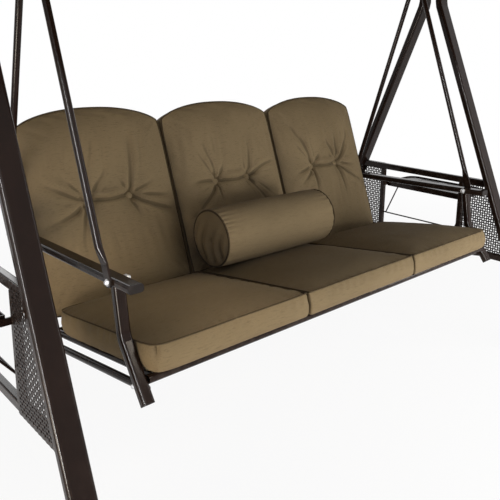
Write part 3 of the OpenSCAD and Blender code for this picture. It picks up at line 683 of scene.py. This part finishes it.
# %% Back cushions
def back_cushion(place, seed):
    """Cover of one back cushion and the piping on it. Returns the cushion's middle along the bench."""
    node = "back_cushion_" + place
    low, high = extent_in(node, back_plane)
    middle = (low[0] + high[0]) / 2
    half = (high[0] - low[0]) / 2
    corner = high[1] - arch_rise
    foot = low[1] - foot_drop
    crown = high[2] - back_seam - back_headroom

    def plan(u, v, out):
        t = (v + 1) / 2
        x = (half + out - back_tuck * math.cos(v * math.pi / 2)) * u
        y = foot - out + t * (corner + arch_rise * (1 - abs(u) ** arch_power) - foot + 2 * out)
        soft = back_corner * abs(u * v) ** 9
        return x - math.copysign(soft, u), y - math.copysign(soft, v)

    def from_button(x, y):
        return min(math.hypot(x - s * button_x, y - button_y) for s in (-1, 1))

    def inside(u, v, out, z):
        x, y = plan(u, v, out)
        return back_plane @ Vector((middle + x, y, z))

    def face(u, v):
        dip = tuft_depth * math.exp(-(from_button(*plan(u, v, 0)) / tuft_reach) ** 1.3)
        return inside(u, v, 0, back_seam + crown * swell(u, v, back_full) - dip)

    def ring_at(share):
        return lambda u, v: inside(u, v, back_bulge, back_seam * share)

    def wrinkles(p):
        x = p[:, 0] - middle
        y = p[:, 1] - button_y
        front = np.clip((p[:, 2] - back_seam * 0.7) / 0.02, 0, 1)
        depth = fan(x - button_x, y, seed * 2 + 1) + fan(-x - button_x, y, seed * 2)
        span = np.exp(-(x / (button_x * 0.93)) ** 8)
        sag = y + 0.004 - 0.010 * (x / button_x) ** 2
        depth -= crease_depth * span * np.exp(-(sag / crease_width) ** 2)
        depth += 0.006 * span * np.exp(-((sag - 0.016) / 0.010) ** 2)
        slow = rolling(p, 0.12, seed) * 0.0035 + rolling(p, 0.05, seed + 9) * 0.0012
        drape = np.sin(x * 165 + 2.5 * np.sin(y * 11 + seed)) * np.sin(x * 23 + seed) * 0.0014
        slow += drape * np.exp(-((abs(y) - 0.13) / 0.07) ** 2)
        edge = np.minimum(half - abs(x), np.minimum(p[:, 1] - foot, corner + arch_rise - p[:, 1]))
        pull = np.sin(p[:, 1] * 140 + x * 60 + seed) * np.exp(-((edge - 0.022) / 0.012) ** 2) * 0.0010
        return (depth + slow + pull) * front * np.clip(edge / seam_calm, 0, 1)

    points, faces, loops, under = cover(
        back_cells, back_cells, face, [ring_at(share) for share in back_band_shares],
        lambda u, v: inside(u, v, -under_inset, 0.0))
    piece = add_piece(node + "_cover", points, faces, cushion_fabric)
    flat = moved(np.array([tuple(p) for p in points]), back_plane.inverted())
    tied = [k for k in range(under) if from_button(flat[k][0] - middle, flat[k][1]) < tie_radius]
    held = {1.0: list(range(under, len(points))) + tied, 0.9: loops[0]}
    swollen = stuffed(piece, held, back_pressure, back_swell)
    seam = [piece.data.vertices[k].co.copy() for k in loops[0]]
    refined(piece)
    pushed(piece, back_plane, wrinkles)
    dressed(piece, "swing", "cushion_fabric", node)
    welt = add_piece("back_seam_" + place, *tube(seam, welt_radius), seam_fabric)
    dressed(welt, "swing", "cushion_fabric")
    print(node, len(piece.data.vertices), "points, swelled", round(swollen * 1000, 1), "mm")
    return middle


back_middles = [back_cushion(place, k + 3) for place, k in places.items()]

# %% [markdown]
# The buttons are covered in the cushions' own cloth. Each is a domed disc with a rolled edge, so it is
# turned like a bowl: a short profile carried round its axis, then set into its tuft.

# %% Covered buttons
button_radius = 0.0135
button_sunk = 0.008
button_steps = 28
button_profile = [(0.0, 0.0072), (0.30, 0.0070), (0.58, 0.0060), (0.80, 0.0044), (0.94, 0.0022),
                  (1.0, -0.0004), (0.92, -0.0030), (0.70, -0.0045)]


def button_rings(x, y, z):
    """Points and faces of one button. Its profile has shares of the radius and heights."""
    points = [back_plane @ Vector((x, y, z + button_profile[0][1]))]
    for share, height in button_profile[1:]:
        reach = button_radius * share
        for s in range(button_steps):
            a = 2 * math.pi * s / button_steps
            spot = (x + reach * math.cos(a), y + reach * math.sin(a), z + height)
            points.append(back_plane @ Vector(spot))
    rings = len(button_profile) - 1
    faces = []
    for s in range(button_steps):
        s2 = (s + 1) % button_steps
        faces.append((0, 1 + s, 1 + s2))
        for r in range(rings - 1):
            a = 1 + r * button_steps
            faces.append((a + s, a + button_steps + s, a + button_steps + s2, a + s2))
    faces.append(tuple(1 + (rings - 1) * button_steps + s for s in range(button_steps))[::-1])
    return points, faces


button_z = extent_in("back_cushion_center", back_plane)[1][2] - tuft_depth - button_sunk
points, faces = [], []
for middle in back_middles:
    for s in (-1, 1):
        more, rings = button_rings(middle + s * button_x, button_y, button_z)
        faces += [tuple(k + len(points) for k in face) for face in rings]
        points += more
buttons = add_piece("covered_buttons", points, faces, cushion_fabric)
dressed(buttons, "swing", "cushion_fabric", "tuft_buttons")
print("buttons:", len(back_middles) * 2)

# %% [markdown]
# The bolster is a stuffed tube with two round ends, and a thin piping is sewn in where they meet. It
# could be a Curve with a bevel, but a profile carried round its axis leaves the seam's points in known
# rows. The tube's cloth is gathered a little at each end, so short lengthwise wrinkles run in from the
# piping. The flat ends hang slack, so upright folds cross their lower half.

# %% Shape of the bolster
bolster_drop = 0.005
bolster_slack = 0.006
end_bulge = 0.004
end_shares = (0.10, 0.25, 0.42, 0.60, 0.76, 0.88, 0.96)
end_radius, seam_radius = 0.95, 0.945
bolster_cells, bolster_steps = 56, 120
bolster_pressure, bolster_swell = 3.0, 0.006
piping_radius = 0.0032
bolster_low, bolster_high = (Vector(c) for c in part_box("bolster"))
bolster_axis = Matrix.Translation((bolster_low + bolster_high) / 2 - Vector((0, 0, bolster_drop)))
bolster_half = (bolster_high.x - bolster_low.x) / 2 - bolster_slack
bolster_r = (bolster_high.z - bolster_low.z) / 2 - bolster_slack


def bolster_profile():
    """Pairs of place along the axis and radius, from the middle of one end to the middle of the other."""
    end = [(-bolster_half - end_bulge * math.cos(share * math.pi / 2), bolster_r * end_radius * share)
           for share in end_shares]
    seam = [(-bolster_half + 0.002, bolster_r * seam_radius)]
    body = []
    for k in range(bolster_cells + 1):
        t = 2 * k / bolster_cells - 1
        t = 0.6 * t + 0.4 * math.sin(t * math.pi / 2)
        body.append((t * (bolster_half - 0.006), bolster_r * (1 - 0.035 * abs(t) ** 6)))
    mirror = [(-x, r) for x, r in reversed(end + seam)]
    return end + seam + body + mirror


def gathers(p):
    """Depth of the bolster's wrinkles, in metres, at places measured from its middle."""
    x, y, z = p.T
    turn = np.arctan2(z, y)
    reach = np.hypot(y, z)
    from_end = np.clip(bolster_half - abs(x), 0, None)
    on_body = np.clip((reach - bolster_r * 0.93) / 0.004, 0, 1)
    pull = np.sin(turn * 26 + 4 * np.sin(turn * 3 + np.sign(x))) * np.exp(-from_end / 0.030) * 0.0016
    fold = np.sin(y * 140 + 1.2 * np.sin(z * 45 + np.sign(x))) * np.clip(0.75 - z / bolster_r, 0, 1.2)
    disc = fold * np.clip((bolster_r * 0.93 - reach) / 0.014, 0, 1) * 0.0038
    slow = rolling(p * np.array([0.5, 1, 1]), 0.06, 4) * 0.0022
    return pull * on_body + disc * (1 - on_body) + slow


print("bolster", round(2 * bolster_half, 3), "m long,", round(2 * bolster_r, 3), "m thick")

# %% [markdown]
# The cover is made from the profile row by row, so the two rows where tube and ends are sewn are known.
# They are all that the solver holds, and the piping is laid along them afterwards.

# %% Bolster
profile = bolster_profile()
rows = [[k * bolster_steps + s for s in range(bolster_steps)] for k in range(len(profile))]
points = []
for x, r in profile:
    for s in range(bolster_steps):
        a = 2 * math.pi * s / bolster_steps
        points.append(bolster_axis @ Vector((x, r * math.cos(a), r * math.sin(a))))
faces = []
for row, onward in zip(rows, rows[1:]):
    for s in range(bolster_steps):
        s2 = (s + 1) % bolster_steps
        faces.append((row[s], row[s2], onward[s2], onward[s]))
faces += [tuple(rows[0])[::-1], tuple(rows[-1])]
bolster = add_piece("bolster_cover", points, faces, cushion_fabric)
sewn_rows = [rows[len(end_shares)], rows[-1 - len(end_shares)]]
swollen = stuffed(bolster, {1.0: sewn_rows[0] + sewn_rows[1]}, bolster_pressure, bolster_swell)
piping = [[bolster.data.vertices[k].co.copy() for k in row] for row in sewn_rows]
refined(bolster)
pushed(bolster, bolster_axis, gathers)
dressed(bolster, "swing", "cushion_fabric", "bolster")
for name, path in zip(("left", "right"), piping):
    cord = add_piece("bolster_piping_" + name, *tube(path, piping_radius), seam_fabric)
    dressed(cord, "swing", "cushion_fabric")
print("bolster:", len(bolster.data.vertices), "points, swelled", round(swollen * 1000, 1), "mm")

# %% [markdown]
# The canopy is one sheet laid over three arched rails, with a valance that hangs all round. It sags
# between the rails and the valance hangs in shallow folds. A fine grid over the same surface as the solid
# gives the sheet; it has no thickness of its own, so a Solidify modifier adds the cloth's.

# %% Shape of the canopy
cloth_high = Vector(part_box("canopy_cloth")[1])
valance_fold = 0.005
valance_drop = 0.096
valance_waves = 9
sag_depth = 0.014
cloth_thickness = 0.0015
hem_radius, ridge_radius = 0.0022, 0.0020
cells_x, cells_y, cells_hem = 120, 70, 9
canopy_half = Vector((cloth_high.x - valance_fold, cloth_high.y - valance_fold, 0))
rail_tube_radius = 0.011
rail_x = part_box("canopy_side_arches")[1][0] - rail_tube_radius
rail_half_span, rail_height, cloth_over_rail = 0.548, 0.130, 0.0158
arch_radius = (rail_half_span ** 2 + rail_height ** 2) / (2 * rail_height) + cloth_over_rail
crown_z = cloth_high.z


def roof(u, v):
    """Place on the stretched roof, which sags between the rails."""
    x, y = u * canopy_half.x, v * canopy_half.y
    bay = min(abs(x), rail_x) / rail_x
    sag = sag_depth * math.sin(math.pi * bay) ** 2 * math.cos(math.pi / 2 * v)
    return Vector((x, y, crown_z - arch_radius + math.sqrt(arch_radius ** 2 - y * y) - sag))


def canopy_grid():
    """Points and faces of roof and valance, with the point numbers of its ridge and of its hem."""
    points = [roof(2 * i / cells_x - 1, 2 * j / cells_y - 1)
              for j in range(cells_y + 1) for i in range(cells_x + 1)]
    faces = []
    for j in range(cells_y):
        for i in range(cells_x):
            a = j * (cells_x + 1) + i
            faces.append((a, a + 1, a + cells_x + 2, a + cells_x + 1))
    edge = rim(cells_x, cells_y)
    before = edge
    for h in range(1, cells_hem + 1):
        share = h / cells_hem
        row = []
        for e in edge:
            i, j = e % (cells_x + 1), e // (cells_x + 1)
            p = points[e].copy()
            on_side, on_end = i in (0, cells_x), j in (0, cells_y)
            wave = 0.0
            if on_side != on_end:
                t = i / cells_x if on_end else j / cells_y
                wave = share * valance_fold * math.sin(2 * math.pi * valance_waves * t)
            p.x += math.copysign(wave, p.x) if on_side else 0
            p.y += math.copysign(wave, p.y) if on_end else 0
            p.z -= share * valance_drop
            row.append(len(points))
            points.append(p)
        for k in range(len(edge)):
            k2 = (k + 1) % len(edge)
            faces.append((before[k2], before[k], row[k], row[k2]))
        before = row
    return points, faces, edge, before


print("canopy arch radius", round(arch_radius, 3), "m")

# %% [markdown]
# The sheet's cut size follows from the same shape: the arc over the rails and the valance on all sides,
# less the four corner squares.

# %% Canopy
points, faces, ridge, hem_row = canopy_grid()
canopy = add_piece("canopy_sheet", points, faces, canopy_fabric)
hem = add_piece("canopy_hem", *tube([points[k] for k in hem_row], hem_radius), seam_fabric)
ridge_path = [points[k] for k in ridge]
ridge_seam = add_piece("canopy_ridge_seam", *tube(ridge_path, ridge_radius), seam_fabric)
thickness = canopy.modifiers.new("cloth", "SOLIDIFY")
thickness.thickness = cloth_thickness
thickness.offset = -1
dressed(canopy, "canopy", "canopy_fabric", "canopy_cloth")
for piece in (hem, ridge_seam):
    dressed(piece, "canopy", "canopy_fabric")
roof_arc = 2 * arch_radius * math.asin(canopy_half.y / arch_radius)
flat_size = (2 * canopy_half.x + 2 * valance_drop, roof_arc + 2 * valance_drop)
flat_area = flat_size[0] * flat_size[1] - 4 * valance_drop ** 2
print("canopy cut to", [round(c, 3) for c in flat_size], "m")

# %% [markdown]
# The side panels are woven from flat painted strip, with a large gap and a small one by turns. A woven
# mesh could be two sets of ribbons, but what the eye reads is the lattice of square gaps. So each cell is
# a frame of four quads round its gap, the crossings stand up and down by turns, and Solidify gives the
# strip its thickness. Cells that meet the sloping leg are cut to its line.

# %% Woven panels
weave_pitch = 0.0100
weave_relief = 0.0004
strip_thickness = 0.0013
gap_large, gap_small = 0.0066, 0.0042
panel_margin = 0.006


def woven_panel(side, row):
    """Panel between a post and a leg. side is -1 or 1, row is front or rear."""
    node = "net_" + ("left" if side < 0 else "right") + "_" + row
    solid = points_of(nodes[node].data)
    toward = -1 if row == "front" else 1
    y_in = abs(solid[:, 1]).min()
    z_low, z_high = solid[:, 2].min(), solid[:, 2].max()
    y_low = abs(solid[solid[:, 2] < z_low + 0.001][:, 1]).max()
    y_high = abs(solid[solid[:, 2] > z_high - 0.001][:, 1]).max()
    x_face = abs(solid[:, 0]).min() + strip_thickness / 2

    def leg_line(z):
        return y_low + (y_high - y_low) * (z - z_low) / (z_high - z_low)

    rows = round((z_high - z_low) / weave_pitch)
    columns = math.ceil((y_low - y_in) / weave_pitch)
    z_step = (z_high - z_low) / rows
    points, faces, known = [], [], {}

    def corner(i, j):
        if (i, j) not in known:
            z = z_low + j * z_step
            y = min(y_in + i * weave_pitch, leg_line(z))
            known[i, j] = len(points)
            lift = weave_relief * (1 if (i + j) % 2 else -1)
            points.append((side * (x_face + lift), toward * y, z))
        return known[i, j]

    for j in range(rows):
        for i in range(columns):
            y0 = y_in + i * weave_pitch
            room = leg_line(z_low + (j + 1) * z_step) - y0
            if leg_line(z_low + j * z_step) - y0 <= 1e-6:
                continue
            ring = [corner(i, j), corner(i + 1, j), corner(i + 1, j + 1), corner(i, j + 1)]
            ring = list(dict.fromkeys(ring))
            inner_edge = y0 < y_in + panel_margin or room < weave_pitch + panel_margin
            if inner_edge or j in (0, rows - 1) or len(ring) < 4:
                faces.append(tuple(ring))
                continue
            gap = (gap_large if (i + j) % 2 else gap_small) / 2
            yc, zc = y0 + weave_pitch / 2, z_low + (j + 0.5) * z_step
            first = len(points)
            for dy, dz in ((-gap, -gap), (gap, -gap), (gap, gap), (-gap, gap)):
                points.append((side * x_face, toward * (yc + dy), zc + dz))
            for k in range(4):
                k2 = (k + 1) % 4
                faces.append((ring[k], ring[k2], first + k2, first + k))
    if side * toward < 0:
        faces = [face[::-1] for face in faces]
    piece = add_piece("woven_panel_" + node[4:], points, faces, woven_steel)
    piece.data.shade_flat()
    strip = piece.modifiers.new("strip", "SOLIDIFY")
    strip.thickness = strip_thickness
    strip.offset = 0
    dressed(piece, "stand", "woven_steel", node)
    return len(faces)


for side in (-1, 1):
    for row in ("front", "rear"):
        print("panel", side, row, woven_panel(side, row), "faces")

# %% [markdown]
# A piece of garden furniture is shown on white, with soft light. One wide lamp stands low in front and
# lights the cushions' faces, and a high one lights the seats under the canopy. Glossy tubes need the
# opposite: narrow lamps at the sides that draw long bright lines. So those on the left are hidden from
# diffuse rays and only show as reflections, and the front lamp is hidden from glossy rays, where it would
# whiten whole faces of the posts. Two small warm lamps lift the left seat, which the near A-frame shades.
# The second has a narrow spread, like a lamp with a grid, so that it lights the seat alone, and it is
# hidden from the camera.

# %% Lamps
warm_white = (1.0, 0.89, 0.74)


def lamp(name, at, aim, size, power, tint=(1, 1, 1)):
    """A rectangular lamp at a place, turned to a point."""
    light = bpy.data.lights.new(name, "AREA")
    light.shape = "RECTANGLE"
    light.size, light.size_y = size
    light.energy = power
    light.color = tint
    made = bpy.data.objects.new(name, light)
    made.location = at
    made.rotation_euler = (Vector(aim) - Vector(at)).to_track_quat("-Z", "Y").to_euler()
    scene.collection.objects.link(made)
    return made


front = lamp("front_softbox", (0.75, -1.95, 0.50), (0.1, 0.1, 0.48), (2.0, 0.8), 41)
front.visible_glossy = False
lamp("high_softbox", (-1.6, -4.2, 3.2), (0.2, 0, 0.6), (2.6, 1.6), 24)
lamp("rear_softbox", (0.8, 4.5, 2.6), (0, 0, 0.9), (3.0, 1.8), 50)
lamp("right_strip", (3.6, -3.0, 1.8), (0.9, 0, 0.9), (0.30, 2.6), 30)
left_lines = [lamp("left_strip", (-4.2, -0.6, 1.0), (0, 0, 0.6), (0.30, 2.4), 40),
              lamp("left_card", (-3.6, -2.4, 1.5), (-0.8, -0.4, 0.8), (0.30, 2.8), 320)]
for line in left_lines:
    line.visible_diffuse = False
lamp("low_left_softbox", (-2.3, -0.9, 0.24), (-0.7, -0.1, 0.45), (0.9, 0.3), 24, warm_white)
grid = lamp("seat_grid", (-0.15, -0.95, 1.25), (-0.56, -0.20, 0.50), (0.4, 0.4), 0.32, warm_white)
grid.data.spread = math.radians(30)
grid.visible_camera = False

# %% [markdown]
# The white behind the bench must not come from more light, which would bleach the cloth. The Light Path
# node tells which kind of ray asks: the camera, a reflection and a transmission see a white backdrop, and
# all other rays meet a dim one. The floor works in the same way. Near the bench a tenth of it stays plain
# paper, which takes the shadow.

# %% Backdrop and floor
fill_strength = 0.26
floor_half = 30
paper_share = 0.10
paper_near, paper_far = 1.2, 4.5


def backdrop_share(tree):
    """1 for the rays that show the backdrop, which are the camera's own, mirrored and transmitted ones."""
    ray = Sock(tree).node("LightPath", output="Is Camera Ray")
    return (ray + ray.sister("Is Glossy Ray") + ray.sister("Is Transmission Ray")).clamped()


world = bpy.data.worlds.new("studio")
scene.world = world
world.use_nodes = True
sky = world.node_tree.nodes["Background"]
sky.inputs["Color"].default_value = (1, 1, 1, 1)
feed(sky, Strength=fill_strength + (1 - fill_strength) * backdrop_share(world.node_tree))

floor_mesh = bpy.data.meshes.new("floor")
floor_corners = [(x * floor_half, y * floor_half, 0) for x, y in ((-1, -1), (1, -1), (1, 1), (-1, 1))]
floor_mesh.from_pydata(floor_corners, [], [(0, 1, 2, 3)])
floor = bpy.data.objects.new("floor", floor_mesh)
scene.collection.objects.link(floor)
paper, paper_shader, place = finish_of("paper", Roughness=0.9, Base_Color=(0.86, 0.86, 0.86, 1))
far = place.node("VectorMath", {"operation": "LENGTH"}, output="Value", i0=place)
near = 1 - far.between(paper_near, paper_far)
own_glow = backdrop_share(paper.node_tree) * (1 - paper_share * near)
lit_paper = Sock(paper.node_tree, paper_shader.outputs[0])
surface = place.node("MixShader", i0=own_glow, i1=lit_paper, i2=place.node("Emission"))
feed(paper.node_tree.nodes["Material Output"], Surface=surface)
floor_mesh.materials.append(paper)
scene.view_settings.view_transform = "Standard"
print("floor", 2 * floor_half, "m wide, fill", fill_strength)
